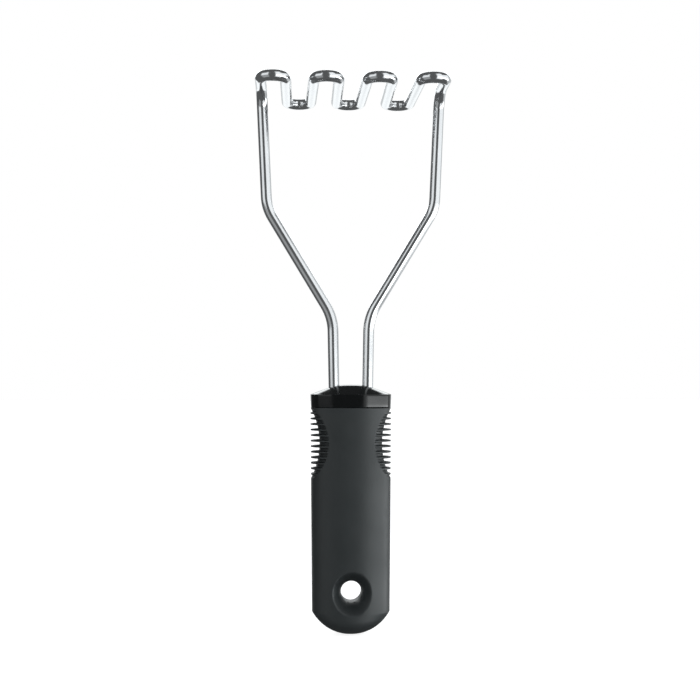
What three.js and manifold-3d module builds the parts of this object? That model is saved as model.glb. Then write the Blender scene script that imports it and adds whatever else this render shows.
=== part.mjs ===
// A wire potato masher: one bent wire, held by its two tangs in an oval handle.
// Millimetres, +Z up. The origin is the lowest point of the handle, on its axis. +Z runs along the handle
// to the mashing head, X is across the rods, and -Y is the front.
import * as THREE from "three";
import { mergeVertices } from "three/addons/utils/BufferGeometryUtils.js";
import Module from "manifold-3d";

// ---- driving dimensions ----
const CLEARANCE = 0.3; // between pieces that touch on the real object
const OVERSHOOT = 1; // how far a cutting solid reaches past the surface that it opens

// wire and head
const WIRE_RADIUS = 2.5;
const WIRE_SIDES = 12;
const BEND_STEP = THREE.MathUtils.degToRad(15);
const TURNS = 7; // U-turns of the zigzag, the first, the last and every other one at the front
const HEAD_HALF_WIDTH = 40.8; // to the outermost legs' centre lines
const HEAD_HALF_DEPTH = 26.8;
const HEAD_Z = 246.9;
const HEAD_DROP_RADIUS = 9; // where the outermost legs turn down into the rods
const FRONT_TURN_RADIUS = 5.45;
const BACK_TURN_RADIUS = 5.65;

// rods, given where their centre lines cross
const UPPER_BEND = { x: 38.35, z: 193, radius: 20 };
const LOWER_BEND = { x: 8.25, z: 143.1, radius: 24 };
const TANG_END = { x: 6.7, z: 57 };

// handle
const TOP_HALF_WIDTH = 18.4;
const END_HALF_WIDTH = 17.6; // where the sides meet the rounded end
const HALF_THICKNESS = 11;
const OVAL_POWER = 2.3;
const OVAL_SIDES = 48;
const GRIP_TOP = 101.9;
const END_ARC_RADIUS = 20.2; // the end's outline, seen from the front
const END_ARC_HEIGHT = END_ARC_RADIUS - Math.sqrt(END_ARC_RADIUS ** 2 - END_HALF_WIDTH ** 2);
const END_ARC_RINGS = 10;
const END_ROLL_HEIGHT = 7.5; // the end's outline, seen from the side
const END_ROLL_POWER = 2;

// finned recesses
const RECESS_Z = 85.9;
const RECESS_OUTLINE_RADIUS = 21;
const RECESS_OUTLINE_SEGMENTS = 32;
const RECESS_NEAREST = 10.5; // from the handle's axis to the outline, across the front
const RECESS_FLOOR_WAIST = 14.25; // half width of what the fins stand on, where it is narrowest
const RECESS_FLOOR_RADIUS = 33.7;
const RECESS_FLOOR_RINGS = 8;
const RECESS_FLOOR_INSET = 0.3; // under the handle's front and back
const RECESS_REACH = 16.4; // above and below RECESS_Z
const FINS = 12;
const FIN_PITCH = 2.5;
const FIN_ROOT = 1.2;
const FIN_TIP = 0.7;
const FIN_OVERLAP = 2; // how far a fin's plate runs into the handle and out past its side

// hang hole
const HOLE_Z = 19.4;
const HOLE_RADIUS = 4.6;
const HOLE_THROAT = 1.5; // half the length of its straight middle
const HOLE_FLARE = 5;
const HOLE_FLARE_POWER = 2;
const HOLE_FLARE_RINGS = 6;
const HOLE_SIDES = 24;

// collar
const COLLAR_BOTTOM = GRIP_TOP + CLEARANCE;
const COLLAR_BAND_TOP = 108.1;
const COLLAR_DRAFT = 0.15; // how much wider the band is at its top than at its bottom, on each side
const DOME_HEIGHT = 4.4;
const DOME_FLAT = 0.36; // share of the dome's reach that is nearly flat
const DOME_SOFTNESS = 0.2; // how gently the flat goes over into the slope
const DOME_REACHES = [0.88, 0.75, 0.62, 0.5, 0.4, 0.3, 0.1];

// core
const CORE_HALF_WIDTH = 12;
const CORE_HALF_THICKNESS = 6;
const CORE_BOTTOM = 38;
const CORE_SIDES = 32;

// ---- booleans ----
const wasm = await Module();
wasm.setup();

function toSolid(geometry) {
  const bare = geometry.clone();
  bare.deleteAttribute("normal");
  bare.deleteAttribute("uv");
  const merged = mergeVertices(bare, 1e-4);
  return new wasm.Manifold(
    new wasm.Mesh({
      numProp: 3,
      vertProperties: merged.attributes.position.array,
      triVerts: new Uint32Array(merged.index.array),
    }),
  );
}

function toGeometry(solid) {
  const mesh = solid.getMesh();
  const geometry = new THREE.BufferGeometry();
  geometry.setAttribute("position", new THREE.BufferAttribute(mesh.vertProperties, 3));
  geometry.setIndex(new THREE.BufferAttribute(mesh.triVerts, 1));
  geometry.computeVertexNormals();
  return geometry;
}

// ---- the wire's centre line ----
// A path of straight runs and circular bends. It has a ring at each end of a straight run and at every
// BEND_STEP round a bend, and its sections are turned so that a flat side faces +Z all over the head.
class BentWire extends THREE.Curve {
  constructor(corners) {
    super();
    this.points = [corners[0].at];
    this.tangents = [corners[1].at.clone().sub(corners[0].at).normalize()];
    for (let i = 1; i < corners.length - 1; i += 1) {
      this.bend(corners[i - 1].at, corners[i], corners[i + 1].at);
    }
    this.points.push(corners.at(-1).at);
    this.tangents.push(this.tangents.at(-1));
  }

  bend(before, corner, after) {
    const into = corner.at.clone().sub(before).normalize();
    const out = after.clone().sub(corner.at).normalize();
    const angle = into.angleTo(out);
    const axis = into.clone().cross(out).normalize();
    const start = corner.at.clone().addScaledVector(into, -corner.radius * Math.tan(angle / 2));
    const toCentre = axis.clone().cross(into).multiplyScalar(corner.radius);
    const centre = start.clone().add(toCentre);
    const steps = Math.max(2, Math.ceil(angle / BEND_STEP - 1e-6));
    for (let i = 0; i <= steps; i += 1) {
      const turned = (angle * i) / steps;
      const point = toCentre.clone().negate().applyAxisAngle(axis, turned).add(centre);
      if (point.distanceTo(this.points.at(-1)) > 1e-3) {
        this.points.push(point);
        this.tangents.push(into.clone().applyAxisAngle(axis, turned));
      }
    }
  }

  get steps() {
    return this.points.length - 1;
  }

  getSpacedPoints() {
    return this.points;
  }

  computeFrenetFrames() {
    const middle = Math.round(this.steps / 2);
    const normals = [];
    const turn = new THREE.Quaternion();
    const carry = (from, to) => {
      turn.setFromUnitVectors(this.tangents[from], this.tangents[to]);
      normals[to] = normals[from].clone().applyQuaternion(turn);
    };
    normals[middle] = new THREE.Vector3(0, 0, 1);
    for (let i = middle + 1; i <= this.steps; i += 1) carry(i - 1, i);
    for (let i = middle - 1; i >= 0; i -= 1) carry(i + 1, i);
    const binormals = this.tangents.map((tangent, i) => tangent.clone().cross(normals[i]));
    return { tangents: this.tangents, normals, binormals };
  }
}

const vector = (x, y, z) => new THREE.Vector3(x, y, z);

// From the left tang up the left rod, to and fro across the head, and down the right rod.
function wireCorners(tangDepth) {
  const lean = (LOWER_BEND.x - TANG_END.x) / (LOWER_BEND.z - TANG_END.z);
  const rod = [
    { at: vector(-TANG_END.x + lean * tangDepth, 0, TANG_END.z - tangDepth) },
    { at: vector(-LOWER_BEND.x, 0, LOWER_BEND.z), radius: LOWER_BEND.radius },
    { at: vector(-UPPER_BEND.x, 0, UPPER_BEND.z), radius: UPPER_BEND.radius },
    { at: vector(-HEAD_HALF_WIDTH, 0, HEAD_Z), radius: HEAD_DROP_RADIUS },
  ];
  const turnPitch = (2 * (HEAD_HALF_WIDTH - FRONT_TURN_RADIUS)) / (TURNS - 1);
  const turns = [];
  for (let turn = 0; turn < TURNS; turn += 1) {
    const front = turn % 2 === 0;
    const radius = front ? FRONT_TURN_RADIUS : BACK_TURN_RADIUS;
    const x = (turn - (TURNS - 1) / 2) * turnPitch;
    const y = front ? -HEAD_HALF_DEPTH : HEAD_HALF_DEPTH;
    turns.push({ at: vector(x - radius, y, HEAD_Z), radius });
    turns.push({ at: vector(x + radius, y, HEAD_Z), radius });
  }
  const otherRod = rod.map(({ at, radius }) => ({ at: vector(-at.x, at.y, at.z), radius })).reverse();
  return [...rod, ...turns, ...otherRod];
}

// A round bar along the wire's path. Its flat sides touch the true circle from outside.
function wireGeometry(radius, tangDepth) {
  const section = new THREE.Shape();
  for (let i = 0; i < WIRE_SIDES; i += 1) {
    const angle = ((i + 0.5) * 2 * Math.PI) / WIRE_SIDES;
    const reach = radius / Math.cos(Math.PI / WIRE_SIDES);
    const point = [reach * Math.cos(angle), reach * Math.sin(angle)];
    if (i === 0) section.moveTo(...point);
    else section.lineTo(...point);
  }
  const path = new BentWire(wireCorners(tangDepth));
  return new THREE.ExtrudeGeometry(section, { steps: path.steps, extrudePath: path });
}

// The space that the wire and its tangs need in the collar and the core.
const wireSpace = toSolid(wireGeometry(WIRE_RADIUS + CLEARANCE, CLEARANCE));

// ---- oval bodies ----
const signedPower = (value, power) => Math.sign(value) * Math.abs(value) ** power;

// A solid with an oval section. Its rings, from the bottom up, have a height, half width and half thickness.
function ovalSolid(rings, sides = OVAL_SIDES) {
  const profile = [new THREE.Vector2(0, rings[0].z)];
  rings.forEach(({ z }) => profile.push(new THREE.Vector2(1, z)));
  profile.push(new THREE.Vector2(0, rings.at(-1).z));
  const geometry = new THREE.LatheGeometry(profile, sides);
  geometry.rotateX(Math.PI / 2);
  geometry.rotateZ(Math.PI / 2);
  const position = geometry.attributes.position;
  for (let i = 0; i < position.count; i += 1) {
    const along = THREE.MathUtils.clamp((i % profile.length) - 1, 0, rings.length - 1);
    const { width, thickness } = rings[along];
    position.setX(i, width * signedPower(position.getX(i), 2 / OVAL_POWER));
    position.setY(i, thickness * signedPower(position.getY(i), 2 / OVAL_POWER));
  }
  return toSolid(geometry);
}

// A body with the same oval section from one height to another.
function ovalBar(bottom, top, width, thickness) {
  return ovalSolid([{ z: bottom, width, thickness }, { z: top, width, thickness }], CORE_SIDES);
}

// ---- soft grip ----
// The grip's outline at a height: nearly straight sides over a rounded end.
function gripRing(z) {
  const up = Math.max(0, z - END_ARC_HEIGHT) / (GRIP_TOP - END_ARC_HEIGHT);
  const side = THREE.MathUtils.lerp(END_HALF_WIDTH, TOP_HALF_WIDTH, up);
  const belowCentre = END_ARC_RADIUS - z;
  const arc = Math.sqrt(Math.max(0, END_ARC_RADIUS ** 2 - belowCentre ** 2));
  const down = Math.max(0, (END_ROLL_HEIGHT - z) / END_ROLL_HEIGHT);
  const thickness = HALF_THICKNESS * Math.max(0, 1 - down ** END_ROLL_POWER) ** (1 / END_ROLL_POWER);
  return { z, width: z < END_ARC_HEIGHT ? arc : side, thickness };
}

function gripBody() {
  const rings = [];
  for (let i = 0; i <= END_ARC_RINGS; i += 1) {
    const turned = (Math.PI / 2) * (i / END_ARC_RINGS);
    rings.push(gripRing(END_ARC_HEIGHT * (1 - Math.cos(turned))));
  }
  rings.push(gripRing(GRIP_TOP));
  return ovalSolid(rings);
}

// What the fins stand on: an oval that is waisted as deep as the recesses.
function recessFloor() {
  const rings = [];
  for (let i = 0; i <= RECESS_FLOOR_RINGS; i += 1) {
    const above = RECESS_REACH * ((2 * i) / RECESS_FLOOR_RINGS - 1);
    const bulge = RECESS_FLOOR_RADIUS - Math.sqrt(RECESS_FLOOR_RADIUS ** 2 - above ** 2);
    rings.push({
      z: RECESS_Z + above,
      width: RECESS_FLOOR_WAIST + bulge,
      thickness: HALF_THICKNESS - RECESS_FLOOR_INSET,
    });
  }
  return ovalSolid(rings);
}

// One flexible fin, drawn from the front and as deep as the handle. side is 1 on the right, -1 on the left.
function finPlate(side, z) {
  const inner = side * (RECESS_NEAREST - FIN_OVERLAP);
  const outer = side * (TOP_HALF_WIDTH + FIN_OVERLAP);
  const outline = new THREE.Shape();
  outline.moveTo(inner, z - FIN_ROOT / 2);
  outline.lineTo(outer, z - FIN_TIP / 2);
  outline.lineTo(outer, z + FIN_TIP / 2);
  outline.lineTo(inner, z + FIN_ROOT / 2);
  return toSolid(throughHandle(outline));
}

// An outline in X and Z, extruded through the handle from front to back.
function throughHandle(outline) {
  const depth = 2 * (HALF_THICKNESS + OVERSHOOT);
  const curveSegments = RECESS_OUTLINE_SEGMENTS;
  const geometry = new THREE.ExtrudeGeometry(outline, { depth, bevelEnabled: false, curveSegments });
  geometry.rotateX(Math.PI / 2);
  geometry.translate(0, depth / 2, 0);
  return geometry;
}

// What is cut out of the grip on one side: all of the recess but its fins.
function recessCut(side, floor) {
  const outline = new THREE.Shape();
  const centre = side * (RECESS_NEAREST + RECESS_OUTLINE_RADIUS);
  outline.absarc(centre, RECESS_Z, RECESS_OUTLINE_RADIUS, 0, 2 * Math.PI, false);
  let cut = toSolid(throughHandle(outline)).subtract(floor);
  for (let i = 0; i < FINS; i += 1) {
    cut = cut.subtract(finPlate(side, RECESS_Z + (i - (FINS - 1) / 2) * FIN_PITCH));
  }
  return cut;
}

// The hang hole's space: straight at mid thickness, and flaring to the front and the back. One of its flat
// sides faces straight up from the hole's lowest point.
function hangHoleCut() {
  const flareLength = HALF_THICKNESS - HOLE_THROAT;
  const flareAt = (along) => HOLE_FLARE * (along / flareLength) ** HOLE_FLARE_POWER;
  const outOfRound = 1 / Math.cos(Math.PI / HOLE_SIDES); // from a flat side's distance to a corner's
  const half = [];
  for (let i = 0; i <= HOLE_FLARE_RINGS; i += 1) {
    const along = ((flareLength + OVERSHOOT) * i) / HOLE_FLARE_RINGS;
    half.push(new THREE.Vector2((HOLE_RADIUS + flareAt(along)) * outOfRound, HOLE_THROAT + along));
  }
  const mirrored = half.map((point) => new THREE.Vector2(point.x, -point.y)).reverse();
  const end = HALF_THICKNESS + OVERSHOOT;
  const profile = [new THREE.Vector2(0, -end), ...mirrored, ...half, new THREE.Vector2(0, end)];
  const geometry = new THREE.LatheGeometry(profile, HOLE_SIDES);
  geometry.rotateY(Math.PI / HOLE_SIDES);
  geometry.translate(0, 0, HOLE_Z);
  return toSolid(geometry);
}

function softGrip() {
  const pocketWidth = CORE_HALF_WIDTH + CLEARANCE;
  const pocketThickness = CORE_HALF_THICKNESS + CLEARANCE;
  const pocket = ovalBar(CORE_BOTTOM - CLEARANCE, GRIP_TOP + OVERSHOOT, pocketWidth, pocketThickness);
  const floor = recessFloor();
  return gripBody()
    .subtract(recessCut(1, floor))
    .subtract(recessCut(-1, floor))
    .subtract(hangHoleCut())
    .subtract(pocket);
}

// ---- collar and core ----
// How far the dome has dropped at a share of its reach from the axis: 0 at the axis, 1 at the band.
function domeDrop(reach) {
  const ramp = (share) => {
    const past = (share - DOME_FLAT) / (1 - DOME_FLAT);
    return past + Math.hypot(past, DOME_SOFTNESS);
  };
  return (ramp(reach) - ramp(0)) / (ramp(1) - ramp(0));
}

// A low band under a shallow dome with a nearly flat top.
function collar() {
  const ringAt = (z, reach, inset) => ({
    z,
    width: TOP_HALF_WIDTH * reach - inset,
    thickness: HALF_THICKNESS * reach - inset,
  });
  const rings = [ringAt(COLLAR_BOTTOM, 1, COLLAR_DRAFT), ringAt(COLLAR_BAND_TOP, 1, 0)];
  DOME_REACHES.forEach((reach) => {
    rings.push(ringAt(COLLAR_BAND_TOP + DOME_HEIGHT * (1 - domeDrop(reach)), reach, 0));
  });
  return ovalSolid(rings).subtract(wireSpace);
}

function handleCore() {
  const bar = ovalBar(CORE_BOTTOM, GRIP_TOP, CORE_HALF_WIDTH, CORE_HALF_THICKNESS);
  return bar.subtract(wireSpace);
}

// ---- materials ----
const standard = (color, roughness, metalness) => {
  return new THREE.MeshStandardMaterial({ color, roughness, metalness });
};
const polishedSteel = standard(0xd4d8da, 0.12, 1);
const glossyPlastic = standard(0x17191a, 0.18, 0);
const softRubber = standard(0x2e3233, 0.62, 0);
const hardPlastic = standard(0x26292a, 0.5, 0);

// ---- assembly ----
function node(name, geometry, material) {
  const mesh = new THREE.Mesh(geometry, material);
  mesh.name = name;
  return mesh;
}

const handle = new THREE.Group();
handle.add(node("soft_grip", toGeometry(softGrip()), softRubber));
handle.add(node("handle_core", toGeometry(handleCore()), hardPlastic));
handle.add(node("collar", toGeometry(collar()), glossyPlastic));

const masher = new THREE.Group();
masher.add(node("wire_frame", wireGeometry(WIRE_RADIUS, 0), polishedSteel));
masher.add(handle);

export default masher;
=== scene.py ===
# A wire potato masher: polished bent wire, glossy collar, soft finned grip. Metres, +Z up.
import math

import bmesh
import bpy
import numpy as np
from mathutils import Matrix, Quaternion, Vector


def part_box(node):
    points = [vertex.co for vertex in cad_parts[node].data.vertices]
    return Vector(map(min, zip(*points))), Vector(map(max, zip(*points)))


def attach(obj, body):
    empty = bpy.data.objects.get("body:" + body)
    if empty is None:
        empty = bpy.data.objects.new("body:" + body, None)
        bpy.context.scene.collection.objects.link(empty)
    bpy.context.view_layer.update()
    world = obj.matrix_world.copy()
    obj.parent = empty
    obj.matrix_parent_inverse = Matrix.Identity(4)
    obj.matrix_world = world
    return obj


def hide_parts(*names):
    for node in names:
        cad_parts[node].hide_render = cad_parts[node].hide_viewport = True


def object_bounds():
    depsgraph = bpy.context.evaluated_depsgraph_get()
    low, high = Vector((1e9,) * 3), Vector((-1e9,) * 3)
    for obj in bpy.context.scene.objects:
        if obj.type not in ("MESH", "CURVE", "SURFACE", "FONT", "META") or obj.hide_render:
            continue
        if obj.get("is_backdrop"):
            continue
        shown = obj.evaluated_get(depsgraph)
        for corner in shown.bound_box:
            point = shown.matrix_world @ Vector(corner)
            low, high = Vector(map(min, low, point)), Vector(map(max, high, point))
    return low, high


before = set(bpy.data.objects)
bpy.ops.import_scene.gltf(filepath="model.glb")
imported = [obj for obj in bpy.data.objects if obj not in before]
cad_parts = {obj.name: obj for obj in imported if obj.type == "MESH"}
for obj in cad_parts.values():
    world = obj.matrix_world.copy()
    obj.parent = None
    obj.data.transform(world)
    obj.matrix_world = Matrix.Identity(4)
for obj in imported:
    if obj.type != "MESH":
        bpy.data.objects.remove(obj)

CAD_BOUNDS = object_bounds()
MM = 0.001

# ---- places and sizes, from the frame ----
WIRE_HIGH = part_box("wire_frame")[1]
COLLAR_LOW, COLLAR_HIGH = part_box("collar")
CORE_LOW, CORE_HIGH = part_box("handle_core")

# wire
WIRE_RADIUS = 2.5 * MM
TURNS = 7
HEAD_HALF_WIDTH = WIRE_HIGH.x - WIRE_RADIUS
HEAD_HALF_DEPTH = WIRE_HIGH.y - WIRE_RADIUS
HEAD_Z = WIRE_HIGH.z - WIRE_RADIUS
HEAD_DROP_RADIUS = 9 * MM
FRONT_TURN_RADIUS = 5.45 * MM
BACK_TURN_RADIUS = 5.65 * MM
UPPER_BEND = (38.35 * MM, 193 * MM, 20 * MM)  # x, z and bend radius
LOWER_BEND = (8.25 * MM, 143.1 * MM, 24 * MM)
TANG_END = (6.7 * MM, 57 * MM)
WIRE_SIDES = 40
WIRE_BEND_STEP = math.radians(4)
WIRE_LONGEST_RUN = 3 * MM

# handle
TOP_HALF_WIDTH = COLLAR_HIGH.x
END_HALF_WIDTH = 17.6 * MM
HALF_THICKNESS = COLLAR_HIGH.y
OVAL_POWER = 2.3
SEAM = 0.08 * MM  # the groove between the grip and the collar
GRIP_TOP = COLLAR_LOW.z - SEAM
END_ARC_RADIUS = 20.2 * MM
END_ARC_HEIGHT = END_ARC_RADIUS - math.sqrt(END_ARC_RADIUS**2 - END_HALF_WIDTH**2)
END_ROLL_HEIGHT = 7.5 * MM
END_ROLL_POWER = 2.0
GRIP_SIDES = 280
END_RINGS = 36
GRIP_TOP_ROUND = 0.25 * MM

# finned recesses
RECESS_Z = 85.9 * MM
RECESS_OUTLINE_RADIUS = 21 * MM
RECESS_NEAREST = 10.5 * MM
RECESS_FLOOR_WAIST = 14.25 * MM
RECESS_FLOOR_RADIUS = 33.7 * MM
RECESS_FLOOR_INSET = 0.3 * MM
RECESS_WALL = (-0.05 * MM, 0.4 * MM)  # from the recess's outline to the wall's top and foot
DEEPEST_RECESS = 6 * MM
DEPTH_HALVINGS = 30  # of the span that holds the recess's depth
FINS = 12
FIN_PITCH = 2.5 * MM
FIN_ROOT = 1.2 * MM
FIN_TIP = 0.7 * MM
FIN_FLANK = (FIN_TIP / 2 - 0.06 * MM, FIN_ROOT / 2 + 0.03 * MM)  # from a fin's middle

# hang hole
HOLE_Z = 19.4 * MM
HOLE_RADIUS = 4.6 * MM
HOLE_THROAT = 1.5 * MM
HOLE_FLARE = 5 * MM
HOLE_FLARE_LENGTH = HALF_THICKNESS - HOLE_THROAT
HOLE_RIM = 0.35 * MM  # how far the rim's rounding reaches
HOLE_SIDES = 96
HOLE_RINGS = 14
HOLE_CUT_RADIUS = 5.45 * MM  # the flare is cut out as far as this, and pressed in beyond it

# collar
BAND_TOP = 108.1 * MM
BAND_DRAFT = 0.15 * MM
COLLAR_FOOT = ((0, 0.3), (0.04, 0.18), (0.12, 0.08), (0.3, 0.02), (0.5, 0))  # height and inset in mm
LIP_RADIUS = 0.35 * MM
LIP_TURN = math.radians(58)  # from the upright band over to the dome
DOME_FLAT = 0.36
DOME_SOFTNESS = 0.2
BAND_RINGS = 8
LIP_RINGS = 6
DOME_RINGS = 56
COLLAR_SIDES = 200
ROD_GAP = 0.06 * MM  # round each rod, where it enters the collar

# bodies that are cut out of others
CUTTER_SIDES = 64
CUTTER_EXCESS = 2 * MM  # how far they stick out of what they cut

# camera: where it looks, from how far, and from which side
CAMERA_AIM = (-0.36 * MM, 0.0, 128.3 * MM)
CAMERA_DISTANCE = 530 * MM
CAMERA_AZIMUTH = math.radians(-2.97)
CAMERA_ELEVATION = math.radians(-1.5)
CAMERA_LENS = 59.8


# ---- small helpers ----
def new_piece(name, bm, node, material):
    mesh = bpy.data.meshes.new(name)
    bm.to_mesh(mesh)
    bm.free()
    for face in mesh.polygons:
        face.use_smooth = True
    piece = bpy.data.objects.new(name, mesh)
    bpy.context.scene.collection.objects.link(piece)
    mesh.materials.append(material)
    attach(piece, "root")
    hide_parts(node)
    return piece


def loft(rings):
    """A closed body through rings of points, each ring counter-clockwise as seen from the last one."""
    bm = bmesh.new()
    made = [[bm.verts.new(point) for point in ring] for ring in rings]
    count = len(rings[0])
    for low, high in zip(made, made[1:]):
        for i in range(count):
            j = (i + 1) % count
            bm.faces.new((low[i], low[j], high[j], high[i]))
    bm.faces.new(reversed(made[0]))
    bm.faces.new(made[-1])
    return bm


def subtract(piece, cutters):
    """Cuts closed bodies out of a piece, for good."""
    for cutter in cutters:
        mesh = bpy.data.meshes.new("cutter")
        cutter.to_mesh(mesh)
        cutter.free()
        tool = bpy.data.objects.new("cutter", mesh)
        bpy.context.scene.collection.objects.link(tool)
        cut = piece.modifiers.new("cut", "BOOLEAN")
        cut.operation = "DIFFERENCE"
        cut.solver = "EXACT"
        cut.object = tool
        depsgraph = bpy.context.evaluated_depsgraph_get()
        result = bpy.data.meshes.new_from_object(piece.evaluated_get(depsgraph))
        piece.modifiers.clear()
        old = piece.data
        piece.data = result
        bpy.data.meshes.remove(old)
        bpy.data.objects.remove(tool)
        bpy.data.meshes.remove(mesh)
    for face in piece.data.polygons:
        face.use_smooth = True


def smoothstep(x, low, high):
    t = np.clip((x - low) / (high - low), 0.0, 1.0)
    return t * t * (3 - 2 * t)


# ---- the wire's path ----
def wire_corners():
    """Points where the wire's straight runs would cross, with bend radii."""
    rod = [(TANG_END[0], TANG_END[1], 0), LOWER_BEND, UPPER_BEND]
    rod.append((HEAD_HALF_WIDTH, HEAD_Z, HEAD_DROP_RADIUS))
    corners = [(Vector((-x, 0, z)), radius) for x, z, radius in rod]
    turn_pitch = 2 * (HEAD_HALF_WIDTH - FRONT_TURN_RADIUS) / (TURNS - 1)
    for turn in range(TURNS):
        front = turn % 2 == 0
        radius = FRONT_TURN_RADIUS if front else BACK_TURN_RADIUS
        y = -HEAD_HALF_DEPTH if front else HEAD_HALF_DEPTH
        x = (turn - (TURNS - 1) / 2) * turn_pitch
        corners.append((Vector((x - radius, y, HEAD_Z)), radius))
        corners.append((Vector((x + radius, y, HEAD_Z)), radius))
    corners += [(Vector((x, 0, z)), radius) for x, z, radius in reversed(rod)]
    return corners


def wire_path():
    """Points and tangents along the wire, close together in its bends."""
    corners = wire_corners()
    points = [corners[0][0]]
    tangents = [(corners[1][0] - corners[0][0]).normalized()]
    for (before, _), (corner, radius), (after, _) in zip(corners, corners[1:], corners[2:]):
        into = (corner - before).normalized()
        out = (after - corner).normalized()
        angle = into.angle(out)
        axis = into.cross(out).normalized()
        start = corner - into * (radius * math.tan(angle / 2))
        arm = axis.cross(into) * radius
        run = (start - points[-1]).length
        pieces = max(1, math.ceil(run / WIRE_LONGEST_RUN))
        last = points[-1]
        for i in range(1, pieces):
            points.append(last.lerp(start, i / pieces))
            tangents.append(into)
        steps = math.ceil(angle / WIRE_BEND_STEP)
        for i in range(steps + 1):
            turn = Quaternion(axis, angle * i / steps)
            point = start + arm - turn @ arm
            if (point - points[-1]).length > 1e-3 * MM:
                points.append(point)
                tangents.append(turn @ into)
    last, end = points[-1], corners[-1][0]
    pieces = max(1, math.ceil((end - last).length / WIRE_LONGEST_RUN))
    for i in range(1, pieces + 1):
        points.append(last.lerp(end, i / pieces))
        tangents.append((end - last).normalized())
    return points, tangents


def tube(points, tangents, radius, sides):
    """Rings round a path, with no twist between them."""
    normal = Vector((0, 1, 0))
    rings = []
    last = tangents[0]
    for point, tangent in zip(points, tangents):
        normal = last.rotation_difference(tangent) @ normal
        normal = (normal - tangent * normal.dot(tangent)).normalized()
        side = tangent.cross(normal)
        last = tangent
        ring = []
        for i in range(sides):
            a = 2 * math.pi * i / sides
            ring.append(point + (normal * math.cos(a) + side * math.sin(a)) * radius)
        rings.append(ring)
    return rings


def make_wire():
    points, tangents = wire_path()
    rings = tube(points, tangents, WIRE_RADIUS, WIRE_SIDES)
    piece = new_piece("masher_wire", loft(rings), "wire_frame", steel())
    store_wire_coordinates(piece, points)


def store_wire_coordinates(piece, points):
    """A UV map whose U runs round the wire and V along it, both in metres, for the drawing marks."""
    along = [0.0]
    for a, b in zip(points, points[1:]):
        along.append(along[-1] + (b - a).length)
    layer = piece.data.uv_layers.new(name="wire")
    girth = 2 * math.pi * WIRE_RADIUS
    for face in piece.data.polygons:
        around = [piece.data.loops[i].vertex_index % WIRE_SIDES for i in face.loop_indices]
        seam = max(around) - min(around) > WIRE_SIDES / 2
        for loop_index, step in zip(face.loop_indices, around):
            vertex = piece.data.loops[loop_index].vertex_index
            step = step + WIRE_SIDES if seam and step < WIRE_SIDES / 2 else step
            layer.data[loop_index].uv = (step / WIRE_SIDES * girth, along[vertex // WIRE_SIDES])


# ---- oval sections ----
def signed_power(value, power):
    return np.sign(value) * np.abs(value) ** power


def oval(angles, width, thickness):
    x = width * signed_power(np.cos(angles), 2 / OVAL_POWER)
    y = thickness * signed_power(np.sin(angles), 2 / OVAL_POWER)
    return x, y


def even_angles(count):
    """Angles that space points evenly along the handle's oval."""
    fine = np.linspace(0, 2 * math.pi, 7201)
    x, y = oval(fine, TOP_HALF_WIDTH, HALF_THICKNESS)
    length = np.concatenate([[0], np.cumsum(np.hypot(np.diff(x), np.diff(y)))])
    return np.interp(np.arange(count) / count * length[-1], length, fine)


# ---- soft grip ----
def grip_size(z):
    """Half width and half thickness of the grip's outline at a height."""
    up = max(0.0, z - END_ARC_HEIGHT) / (GRIP_TOP - END_ARC_HEIGHT)
    width = END_HALF_WIDTH + (TOP_HALF_WIDTH - END_HALF_WIDTH) * up
    if z < END_ARC_HEIGHT:
        width = math.sqrt(max(0.0, END_ARC_RADIUS**2 - (END_ARC_RADIUS - z) ** 2))
    down = max(0.0, (END_ROLL_HEIGHT - z) / END_ROLL_HEIGHT)
    thickness = HALF_THICKNESS * max(0.0, 1 - down**END_ROLL_POWER) ** (1 / END_ROLL_POWER)
    return width, thickness


def grip_heights():
    """Heights of the grip's rings, close together at its end, hang hole, recesses and top edge."""
    heights = []
    for i in range(1, END_RINGS + 1):
        heights.append(END_ARC_HEIGHT * (1 - math.cos(math.pi / 2 * i / END_RINGS)))
    first = RECESS_Z - FIN_PITCH * FINS / 2
    last = RECESS_Z + FIN_PITCH * FINS / 2
    below_fins = (
        (END_ARC_HEIGHT + 0.5 * MM, 31 * MM, 0.45 * MM),  # the hang hole
        (32 * MM, first - 3.2 * MM, 2 * MM),  # the plain part above it
        (first - 3 * MM, first - 0.2 * MM, 0.3 * MM),  # the recesses' lower ends
    )
    for start, stop, step in below_fins:
        heights += list(np.arange(start, stop, step))
    # mm from a fin's middle, closest on its flanks, and once halfway to the fin below
    half = [0.0, 0.2, 0.3, 0.36, 0.42, 0.48, 0.54, 0.62, 0.8, 1.02]
    steps = sorted({-h for h in half} | set(half) | {-1.25})
    for fin in range(FINS):
        centre = first + (fin + 0.5) * FIN_PITCH
        heights += [centre + step * MM for step in steps]
    heights += list(np.arange(last, GRIP_TOP - 0.5 * MM, 0.3 * MM))
    heights += [GRIP_TOP - down * MM for down in (0.3, 0.12, 0.03, 0)]
    return heights


def recess_floor_depth(x, y, z):
    """How far straight into the handle the recess's floor lies from a point on the outer oval."""
    bulge = RECESS_FLOOR_RADIUS - math.sqrt(RECESS_FLOOR_RADIUS**2 - (z - RECESS_Z) ** 2)
    floor_width = RECESS_FLOOR_WAIST + bulge
    floor_thickness = HALF_THICKNESS - RECESS_FLOOR_INSET
    width, thickness = grip_size(z)
    nx = signed_power(x / width, OVAL_POWER - 1) / width
    ny = signed_power(y / thickness, OVAL_POWER - 1) / thickness
    size = np.hypot(nx, ny)
    nx, ny = nx / size, ny / size
    low, high = np.zeros_like(x), np.full_like(x, DEEPEST_RECESS)
    for _ in range(DEPTH_HALVINGS):
        middle = (low + high) / 2
        px = np.abs(x - middle * nx) / floor_width
        py = np.abs(y - middle * ny) / floor_thickness
        outside = px**OVAL_POWER + py**OVAL_POWER > 1
        low = np.where(outside, middle, low)
        high = np.where(outside, high, middle)
    return nx, ny, low


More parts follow.
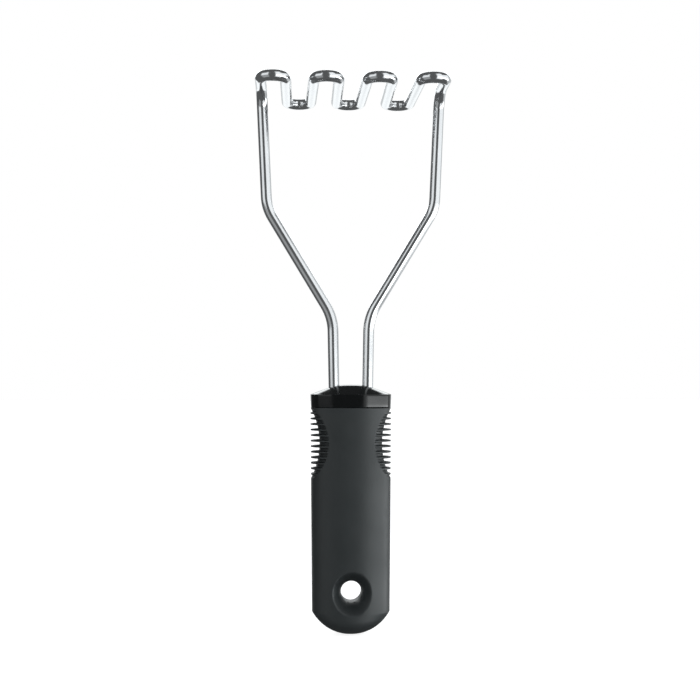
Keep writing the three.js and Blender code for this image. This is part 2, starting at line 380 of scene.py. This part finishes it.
def fin_cut(z):
    """0 on a fin's tip and 1 between fins."""
    from_first = (z - RECESS_Z) / FIN_PITCH + (FINS - 1) / 2
    nearest = min(max(round(from_first), 0), FINS - 1)
    away = abs(from_first - nearest) * FIN_PITCH
    return float(smoothstep(np.float64(away), *FIN_FLANK))


def hole_dish(x, y, z):
    """The outer surface sunk into the hang hole's flare, with a rounded rim."""
    out = np.hypot(x, z - HOLE_Z)
    flare = np.clip((out - HOLE_RADIUS) / HOLE_FLARE, 0.03, None)
    funnel = HOLE_THROAT + HOLE_FLARE_LENGTH * np.sqrt(flare)
    h = np.clip(0.5 + 0.5 * (funnel - np.abs(y)) / HOLE_RIM, 0, 1)
    blended = funnel * (1 - h) + np.abs(y) * h - HOLE_RIM * h * (1 - h)
    near = out < HOLE_RADIUS + HOLE_FLARE + 4 * MM
    return np.where(near & (np.abs(x) < 0.85 * END_HALF_WIDTH), np.sign(y) * blended, y)


def grip_ring(angles, z):
    width, thickness = grip_size(z)
    into_top = max(0.0, z - (GRIP_TOP - GRIP_TOP_ROUND))
    inset = GRIP_TOP_ROUND - math.sqrt(max(0.0, GRIP_TOP_ROUND**2 - into_top**2))
    x, y = oval(angles, width - inset, thickness - inset)
    along = z - RECESS_Z
    if abs(along) < RECESS_OUTLINE_RADIUS:
        edge = RECESS_NEAREST + RECESS_OUTLINE_RADIUS
        edge -= math.sqrt(RECESS_OUTLINE_RADIUS**2 - along**2)
        wall_top, wall_foot = (edge + away for away in RECESS_WALL)
        if edge < width:
            nx, ny, depth = recess_floor_depth(x, y, z)
            inside = smoothstep(np.abs(x), wall_top, wall_foot)
            sink = depth * inside * fin_cut(z)
            x, y = x - nx * sink, y - ny * sink
    if abs(z - HOLE_Z) < HOLE_RADIUS + HOLE_FLARE + 2 * MM:
        y = hole_dish(x, y, z)
    return [Vector((float(a), float(b), z)) for a, b in zip(x, y)]


def hole_cutter():
    """The hang hole's throat and the inner part of its flare."""
    half = []
    for i in range(HOLE_RINGS + 1):
        radius = HOLE_RADIUS + (HOLE_CUT_RADIUS - HOLE_RADIUS) * (i / HOLE_RINGS) ** 2
        opened = math.sqrt((radius - HOLE_RADIUS) / HOLE_FLARE)
        half.append((radius, HOLE_THROAT + HOLE_FLARE_LENGTH * opened))
    half.append((HOLE_CUT_RADIUS, HALF_THICKNESS + CUTTER_EXCESS))
    profile = [(r, -y) for r, y in reversed(half)] + half
    rings = []
    for radius, y in profile:
        ring = []
        for i in range(HOLE_SIDES):
            a = 2 * math.pi * i / HOLE_SIDES
            ring.append(Vector((radius * math.sin(a), y, HOLE_Z + radius * math.cos(a))))
        rings.append(ring)
    return loft(rings)


def core_cutter():
    """The pocket that the core and the tangs fill."""
    gap = 0.1 * MM
    angles = np.arange(CUTTER_SIDES) / CUTTER_SIDES * 2 * math.pi
    x, y = oval(angles, CORE_HIGH.x + gap, CORE_HIGH.y + gap)
    rings = []
    for z in (CORE_LOW.z - gap, GRIP_TOP + CUTTER_EXCESS):
        rings.append([Vector((float(a), float(b), z)) for a, b in zip(x, y)])
    return loft(rings)


def make_grip():
    angles = even_angles(GRIP_SIDES)
    rings = [grip_ring(angles, z) for z in grip_heights()]
    piece = new_piece("soft_handle_grip", loft(rings), "soft_grip", rubber())
    subtract(piece, [hole_cutter(), core_cutter()])


# ---- collar ----
def dome_drop(reach):
    """How far the dome has dropped at a share of its reach from the axis: 0 at the axis, 1 at the band."""

    def ramp(share):
        past = (share - DOME_FLAT) / (1 - DOME_FLAT)
        return past + math.hypot(past, DOME_SOFTNESS)

    return (ramp(reach) - ramp(0)) / (ramp(1) - ramp(0))


def collar_profile():
    """Heights, with the outline's size there as a share of the band's, and how far in from that it is."""
    bottom = COLLAR_LOW.z
    profile = [(bottom + up * MM, 1, BAND_DRAFT + inset * MM) for up, inset in COLLAR_FOOT]
    foot = profile[-1][0]
    lip_start = BAND_TOP - LIP_RADIUS * math.tan(LIP_TURN / 2)
    for i in range(1, BAND_RINGS + 1):
        z = foot + (lip_start - foot) * i / BAND_RINGS
        profile.append((z, 1, BAND_DRAFT * (1 - (z - bottom) / (lip_start - bottom))))
    for i in range(1, LIP_RINGS + 1):
        a = LIP_TURN * i / LIP_RINGS
        profile.append((lip_start + LIP_RADIUS * math.sin(a), 1, LIP_RADIUS * (1 - math.cos(a))))
    for i in range(1, DOME_RINGS):
        reach = 1 - i / DOME_RINGS
        profile.append((BAND_TOP + (COLLAR_HIGH.z - BAND_TOP) * (1 - dome_drop(reach)), reach, 0))
    return profile


def make_collar():
    angles = even_angles(COLLAR_SIDES)
    rings = []
    for z, reach, inset in collar_profile():
        x, y = oval(angles, TOP_HALF_WIDTH * reach - inset, HALF_THICKNESS * reach - inset)
        rings.append([Vector((float(a), float(b), z)) for a, b in zip(x, y)])
    piece = new_piece("handle_collar", loft(rings), "collar", gloss_plastic())
    subtract(piece, [rod_cutter(-1), rod_cutter(1)])


def rod_cutter(side):
    """The bore that a rod runs through, a hair wider than the wire."""
    lean = (LOWER_BEND[0] - TANG_END[0]) / (LOWER_BEND[1] - TANG_END[1])
    heights = (COLLAR_LOW.z - CUTTER_EXCESS, COLLAR_HIGH.z + CUTTER_EXCESS)
    points = [Vector((side * (TANG_END[0] + lean * (z - TANG_END[1])), 0, z)) for z in heights]
    tangent = (points[1] - points[0]).normalized()
    return loft(tube(points, [tangent, tangent], WIRE_RADIUS + ROD_GAP, CUTTER_SIDES))


# ---- materials ----
class Nodes:
    """A material with a Principled shader and a few helpers for its nodes."""

    def __init__(self, name):
        self.material = bpy.data.materials.new(name)
        self.material.use_nodes = True
        self.tree = self.material.node_tree
        self.shader = next(n for n in self.tree.nodes if n.type == "BSDF_PRINCIPLED")

    def add(self, kind, **settings):
        node = self.tree.nodes.new(kind)
        for key, value in settings.items():
            setattr(node, key, value)
        return node

    def link(self, a, b):
        self.tree.links.new(a, b)

    def noise(self, scale, detail):
        place = self.add("ShaderNodeTexCoord")
        noise = self.add("ShaderNodeTexNoise")
        noise.inputs["Scale"].default_value = scale
        noise.inputs["Detail"].default_value = detail
        self.link(place.outputs["Object"], noise.inputs["Vector"])
        return noise.outputs["Fac"]

    def spread(self, value, low, high, start=0.0, end=1.0):
        ramp = self.add("ShaderNodeMapRange")
        ramp.inputs["From Min"].default_value = start
        ramp.inputs["From Max"].default_value = end
        ramp.inputs["To Min"].default_value = low
        ramp.inputs["To Max"].default_value = high
        self.link(value, ramp.inputs["Value"])
        return ramp.outputs["Result"]

    def two_colours(self, value, low, high):
        mix = self.add("ShaderNodeMix", data_type="RGBA")
        mix.inputs["A"].default_value = (*low, 1)
        mix.inputs["B"].default_value = (*high, 1)
        self.link(value, mix.inputs["Factor"])
        return mix.outputs["Result"]

    def patches(self, clouds, low, high):
        """Two colours in cloudy patches."""
        return self.two_colours(self.spread(clouds, 0, 1, 0.3, 0.7), low, high)

    def worn(self, base, rubbed, start, end):
        """The base colour, rubbed to another one along sharp outer edges."""
        shape = self.add("ShaderNodeNewGeometry")
        mix = self.add("ShaderNodeMix", data_type="RGBA")
        self.link(self.spread(shape.outputs["Pointiness"], 0, 1, start, end), mix.inputs["Factor"])
        self.link(base, mix.inputs["A"])
        mix.inputs["B"].default_value = (*rubbed, 1)
        return mix.outputs["Result"]

    def bump(self, height, strength, distance, before=None):
        bump = self.add("ShaderNodeBump")
        bump.inputs["Strength"].default_value = strength
        bump.inputs["Distance"].default_value = distance
        self.link(height, bump.inputs["Height"])
        if before is not None:
            self.link(before, bump.inputs["Normal"])
        return bump.outputs["Normal"]

    def set(self, **values):
        for name, value in values.items():
            socket = self.shader.inputs[name.replace("_", " ")]
            if hasattr(value, "node"):
                self.link(value, socket)
            else:
                socket.default_value = value


def steel():
    """Polished stainless wire, with faint marks along its length from the drawing die."""
    n = Nodes("polished_steel_wire")
    marks = n.add("ShaderNodeTexNoise")
    coordinates = n.add("ShaderNodeUVMap", uv_map="wire")
    mapping = n.add("ShaderNodeMapping")
    mapping.inputs["Scale"].default_value = (9000, 60, 1)
    n.link(coordinates.outputs["UV"], mapping.inputs["Vector"])
    n.link(mapping.outputs["Vector"], marks.inputs["Vector"])
    marks.inputs["Scale"].default_value = 1
    marks.inputs["Detail"].default_value = 4
    clouds = n.noise(90, 4)
    n.set(
        Base_Color=n.patches(clouds, (0.74, 0.75, 0.765), (0.83, 0.84, 0.85)),
        Metallic=1.0,
        Roughness=n.spread(clouds, 0.12, 0.17, 0.3, 0.7),
        Normal=n.bump(marks.outputs["Fac"], 0.04, 0.00001),
    )
    return n.material


def gloss_plastic():
    """Hard black plastic, polished by its mould, with a slight unevenness and rubbed spots."""
    n = Nodes("glossy_black_plastic")
    clouds = n.noise(160, 5)
    waves = n.noise(45, 2)
    colour = n.patches(clouds, (0.007, 0.0085, 0.009), (0.009, 0.0105, 0.011))
    n.set(
        Base_Color=n.worn(colour, (0.020, 0.022, 0.023), 0.53, 0.62),
        Roughness=n.spread(clouds, 0.07, 0.15, 0.3, 0.7),
        Normal=n.bump(waves, 0.05, 0.0006),
        IOR=1.45,
        Specular_IOR_Level=0.5,
    )
    return n.material


def rubber():
    """Soft-touch rubber: matt, a little cloudy, with a fine moulded grain."""
    n = Nodes("soft_black_rubber")
    clouds = n.noise(70, 5)
    grain = n.noise(5200, 2)
    pores = n.noise(1500, 3)
    fine = n.bump(grain, 0.10, 0.00004)
    colour = n.patches(clouds, (0.037, 0.0435, 0.0455), (0.045, 0.0515, 0.0535))
    n.set(
        Base_Color=n.worn(colour, (0.055, 0.062, 0.064), 0.53, 0.62),
        Roughness=n.spread(clouds, 0.42, 0.52, 0.3, 0.7),
        Normal=n.bump(pores, 0.08, 0.00008, fine),
        IOR=1.5,
    )
    return n.material


def core_plastic():
    """Plain moulded plastic, hidden inside the grip."""
    n = Nodes("plain_black_plastic")
    clouds = n.noise(120, 4)
    n.set(
        Base_Color=n.two_colours(clouds, (0.02, 0.021, 0.022), (0.03, 0.031, 0.032)),
        Roughness=n.spread(clouds, 0.4, 0.5),
        Normal=n.bump(n.noise(2500, 2), 0.1, 0.00005),
    )
    return n.material


# ---- studio ----
FLOOR_GLOW = 0.85  # so that the floor is as pale as the backdrop and only the contact shadow shows


def floor_white():
    n = Nodes("white_studio_floor")
    clouds = n.noise(3, 3)
    n.set(
        Base_Color=n.two_colours(clouds, (0.90, 0.90, 0.90), (0.92, 0.92, 0.92)),
        Roughness=0.9,
        Specular_IOR_Level=0.0,
        Emission_Color=(1, 1, 1, 1),
        Emission_Strength=FLOOR_GLOW,
    )
    return n.material


def make_floor():
    bm = bmesh.new()
    bmesh.ops.create_grid(bm, x_segments=8, y_segments=8, size=6)
    mesh = bpy.data.meshes.new("studio_floor")
    bm.to_mesh(mesh)
    bm.free()
    floor = bpy.data.objects.new("studio_floor", mesh)
    bpy.context.scene.collection.objects.link(floor)
    mesh.materials.append(floor_white())
    floor.visible_diffuse = False
    floor.visible_glossy = False
    floor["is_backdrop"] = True


def make_camera():
    data = bpy.data.cameras.new("camera")
    data.lens = CAMERA_LENS
    data.clip_start = 0.01
    camera = bpy.data.objects.new("camera", data)
    bpy.context.scene.collection.objects.link(camera)
    a, e = CAMERA_AZIMUTH, CAMERA_ELEVATION
    back = Vector((math.sin(a) * math.cos(e), -math.cos(a) * math.cos(e), math.sin(e)))
    camera.location = Vector(CAMERA_AIM) + back * CAMERA_DISTANCE
    camera.rotation_mode = "QUATERNION"
    camera.rotation_quaternion = (-back).to_track_quat("-Z", "Y")
    bpy.context.scene.camera = camera


# Soft lights round the object. Azimuth in degrees (0 is the front, 90 the right, 180 the back), elevation,
# half width and half height in degrees, brightness.
LIGHTS = {
    "large light on the right": (39, 9, 21, 50, 1.0),
    "side of it": (83, 6, 23, 30, 1.0),
    "strip along it": (66, -10, 42, 6, 5.0),
    "grey card behind it": (127, 4, 21, 34, 0.5),
    "card on the left": (-53, 16, 24, 18, 0.85),
    "upper end of that card": (-36, 40, 6, 8, 0.8),
    "lower end of that card": (-50, -24, 24, 20, 0.25),
    "card behind, below the horizon": (180, -9, 32, 9, 1.08),
    "card behind, above the horizon": (180, 7, 32, 7, 0.55),
    "light behind, above the cards": (180, 25, 32, 10, 3.0),
}
EDGE = 6  # how soft a light's edges are, in degrees
ROOM = 0.11  # how bright the dark studio is between its lights
LIGHT_COLOUR = (0.97, 1.0, 1.01, 1)
BACKDROP = 1.0  # how bright the camera sees the backdrop


def make_world():
    """A dark studio with a few large soft lights, and a white backdrop that only the camera sees."""
    world = bpy.data.worlds.new("studio")
    bpy.context.scene.world = world
    world.use_nodes = True
    tree = world.node_tree
    tree.nodes.clear()

    def maths(operation, *values):
        node = tree.nodes.new("ShaderNodeMath")
        node.operation = operation
        for socket, value in zip(node.inputs, values):
            if hasattr(value, "node"):
                tree.links.new(value, socket)
            else:
                socket.default_value = value
        return node.outputs[0]

    def within(away, half):
        """1 nearer than half, 0 further away, with a soft edge."""
        edge = tree.nodes.new("ShaderNodeMapRange")
        edge.interpolation_type = "SMOOTHSTEP"
        tree.links.new(away, edge.inputs["Value"])
        edge.inputs["From Min"].default_value = math.radians(half - EDGE / 2)
        edge.inputs["From Max"].default_value = math.radians(half + EDGE / 2)
        edge.inputs["To Min"].default_value = 1
        edge.inputs["To Max"].default_value = 0
        return edge.outputs["Result"]

    place = tree.nodes.new("ShaderNodeTexCoord")
    split = tree.nodes.new("ShaderNodeSeparateXYZ")
    tree.links.new(place.outputs["Generated"], split.inputs[0])
    x, y, z = split.outputs
    azimuth = maths("ARCTAN2", x, maths("MULTIPLY", y, -1.0))
    elevation = maths("ARCSINE", z)
    brightness = maths("ADD", ROOM, 0.0)
    for turn, up, half_width, half_height, strength in LIGHTS.values():
        beside = maths("WRAP", maths("SUBTRACT", azimuth, math.radians(turn)), math.pi, -math.pi)
        above = maths("SUBTRACT", elevation, math.radians(up))
        patch = maths("MULTIPLY", within(maths("ABSOLUTE", beside), half_width),
                      within(maths("ABSOLUTE", above), half_height))
        brightness = maths("ADD", brightness, maths("MULTIPLY", patch, strength))
    light = tree.nodes.new("ShaderNodeBackground")
    tree.links.new(brightness, light.inputs["Strength"])
    light.inputs["Color"].default_value = LIGHT_COLOUR
    seen = tree.nodes.new("ShaderNodeBackground")
    seen.inputs["Strength"].default_value = BACKDROP
    seen.inputs["Color"].default_value = (1, 1, 1, 1)
    ray = tree.nodes.new("ShaderNodeLightPath")
    choose = tree.nodes.new("ShaderNodeMixShader")
    tree.links.new(ray.outputs["Is Camera Ray"], choose.inputs["Fac"])
    tree.links.new(light.outputs[0], choose.inputs[1])
    tree.links.new(seen.outputs[0], choose.inputs[2])
    output = tree.nodes.new("ShaderNodeOutputWorld")
    tree.links.new(choose.outputs[0], output.inputs["Surface"])


def finish_core():
    """The core keeps its own mesh, in the visual's plastic."""
    finish = core_plastic()
    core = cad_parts["handle_core"]
    if not core.material_slots:
        core.data.materials.append(finish)
    for material_slot in core.material_slots:
        material_slot.material = finish


make_camera()
make_world()
make_floor()
make_wire()
make_grip()
make_collar()
finish_core()
bpy.context.scene.view_settings.view_transform = "Standard"

sizes = {"cad": CAD_BOUNDS, "visual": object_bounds()}
sizes = {name: [list(corner) for corner in corners] for name, corners in sizes.items()}
